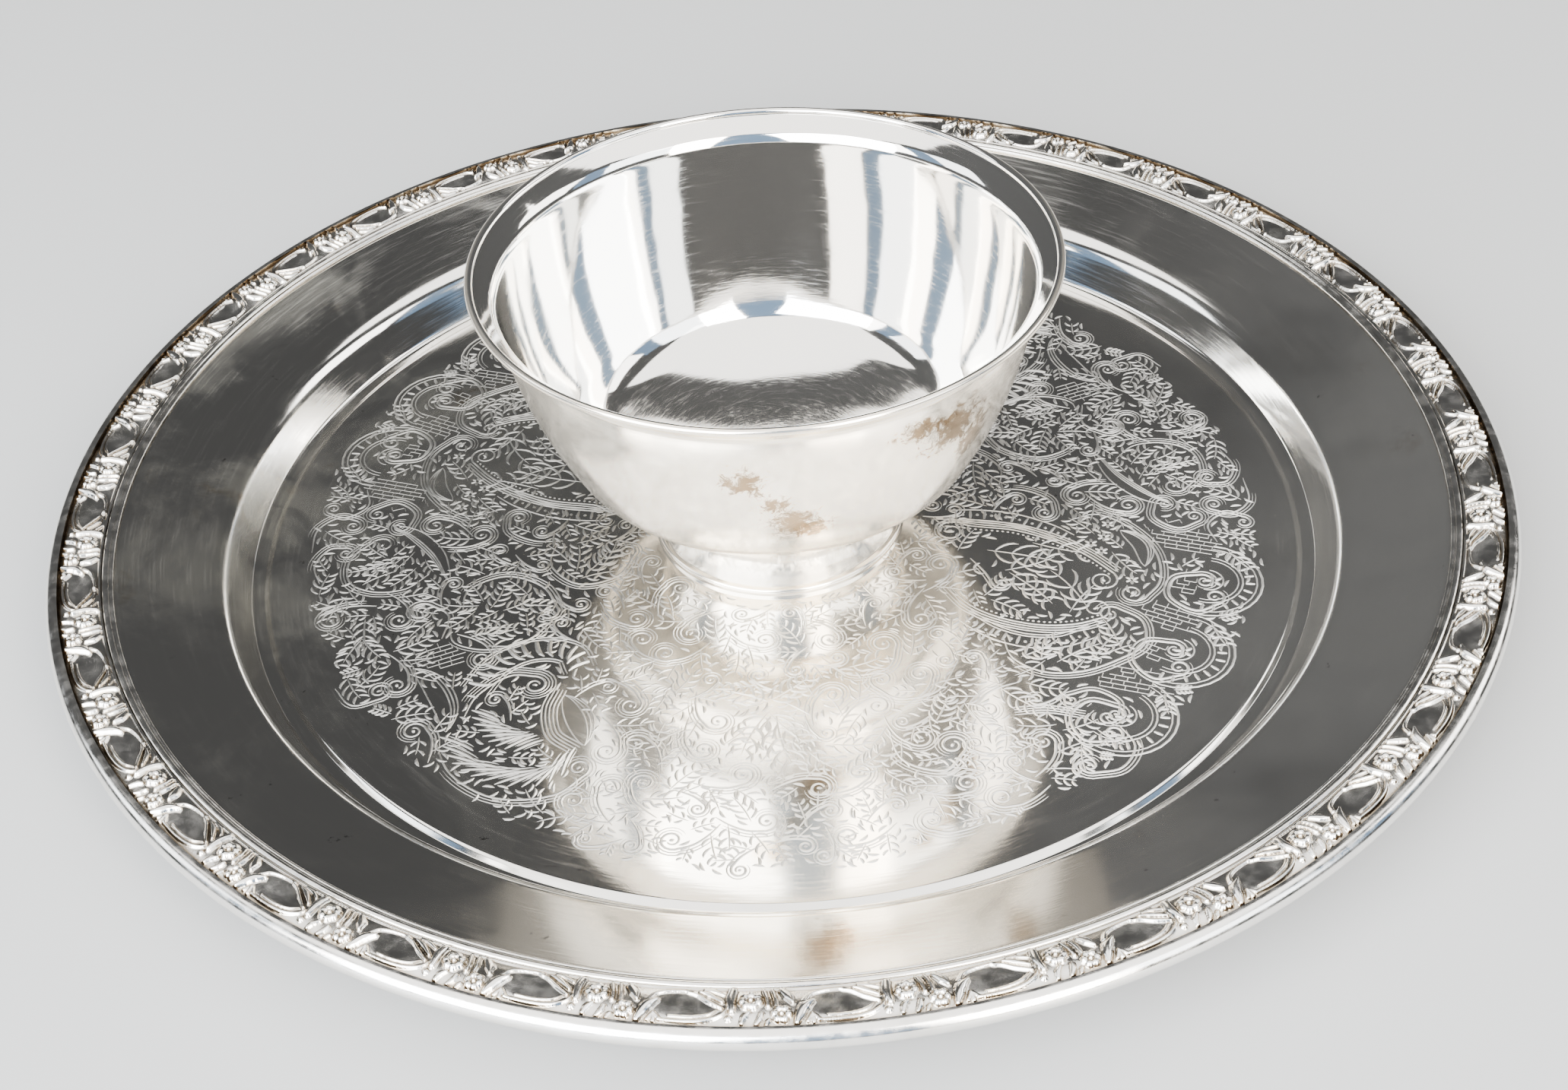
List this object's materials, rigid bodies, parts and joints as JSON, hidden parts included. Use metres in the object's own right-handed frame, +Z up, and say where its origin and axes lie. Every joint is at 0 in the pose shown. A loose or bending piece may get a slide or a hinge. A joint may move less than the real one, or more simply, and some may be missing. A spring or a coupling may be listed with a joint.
{
  "type": "footed bowl on round tray",
  "caption": "Footed bowl with a flared lip, screwed to the middle of a round engraved tray with a floral border, for bread and wine at a service table.",
  "frame": {"origin": "on the axis, at the plane the tray rests on", "axes": "+Z up along the axis of the bowl and the tray"},
  "size_m": [0.3174, 0.3174, 0.0722],
  "materials": {
    "silver_plate": "polished silver plate, warm, lightly tarnished",
    "silver_tray": "polished silver plate with fine wear scratches and an engraved floor",
    "silver_border": "struck silver plate, bright relief with darkened recesses",
    "soft_solder": "dull grey soft solder",
    "brass_plain": "turned brass",
    "steel_plain": "plain steel"
  },
  "bodies": {
    "tray": {"tray_pan": "silver_tray", "border_mount": "silver_border", "border_filler": "soft_solder", "inner_bead": "silver_border", "rim_wire": "silver_border"},
    "bowl": {"bowl_shell": "silver_plate", "lip_wire": "silver_plate", "foot_collet": "silver_plate", "foot_wire": "silver_plate", "foot_bridge": "brass_plain", "stud": "brass_plain"},
    "washers": {"flat_washer": "steel_plain", "lock_washer": "steel_plain"},
    "nut": {"thumb_nut": "brass_plain"}
  },
  "joints": [
    {"name": "bowl_lift", "type": "slide", "parent": "tray", "child": "bowl", "axis": [0, 0, 1], "range_m": [0, 0.06]},
    {"name": "washer_drop", "type": "slide", "parent": "tray", "child": "washers", "axis": [0, 0, -1], "range_m": [0, 0.0049]},
    {"name": "nut_turn", "type": "hinge", "parent": "washers", "child": "nut", "pos_m": [0, 0, 0.004], "axis": [0, 0, -1], "range_deg": [0, 2160]}
  ],
  "couplings": [
    {"joint": "washer_drop", "follows": "nut_turn", "m_per_rad": 0.00012732}
  ]
}
